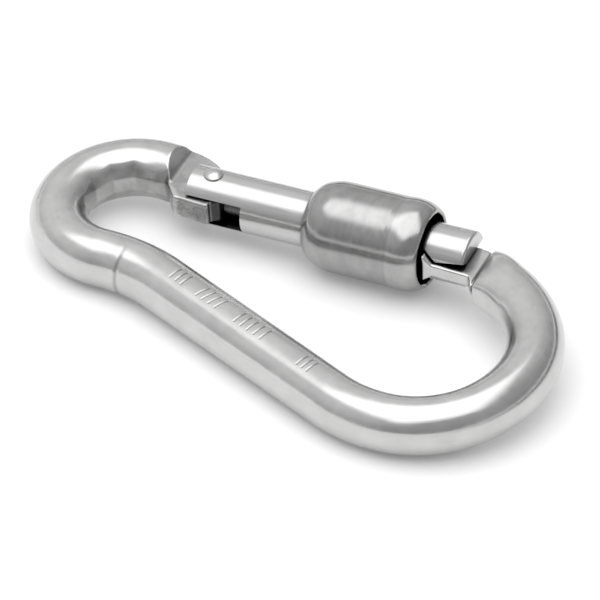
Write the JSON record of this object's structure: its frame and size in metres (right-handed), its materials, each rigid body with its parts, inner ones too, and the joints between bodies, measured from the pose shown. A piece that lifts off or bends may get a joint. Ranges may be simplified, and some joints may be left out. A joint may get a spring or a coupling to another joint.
{
  "type": "screw-lock snap hook",
  "caption": "Pear-shaped carabiner of round steel bar with a small eye, a sprung hinged gate that swings inward and a sliding lock sleeve over the nose.",
  "frame": {"origin": "centre of the closed hook's bounding box, which lies on its middle plane", "axes": "+X along the gate from the hinge to the nose, +Y towards the gate side and away from the back, +Z square to the flat of the hook"},
  "size_m": [0.082, 0.0464, 0.013],
  "materials": {
    "polished_bar": "polished stainless steel with fine scratches",
    "polished_gate": "polished stainless steel",
    "rivet_steel": "polished stainless steel",
    "spring_wire": "drawn spring wire",
    "plunger_steel": "turned steel",
    "satin_sleeve": "satin turned stainless steel"
  },
  "bodies": {
    "hook": {"hook_body": "polished_bar"},
    "gate": {"gate_barrel": "polished_gate", "hinge_rivet": "rivet_steel", "gate_spring": "spring_wire"},
    "plunger": {"spring_plunger": "plunger_steel"},
    "sleeve": {"lock_sleeve": "satin_sleeve"}
  },
  "joints": [
    {"name": "gate_hinge", "type": "hinge", "parent": "hook", "child": "gate", "pos_m": [-0.01777, 0.01643, 0], "axis": [0, 0, 1], "range_deg": [-28, 0], "stiffness_Nm_per_rad": 0.31, "springref_deg": 18.33},
    {"name": "plunger_slide", "type": "slide", "parent": "gate", "child": "plunger", "axis": [1, 0, 0], "range_m": [0, 0.00075], "deforming": ["gate_spring"]},
    {"name": "sleeve_travel", "type": "slide", "parent": "gate", "child": "sleeve", "axis": [1, 0, 0], "range_m": [0, 0.005]}
  ],
  "couplings": [
    {"joint": "plunger_slide", "follows": "gate_hinge", "m_per_rad": -0.0015}
  ]
}
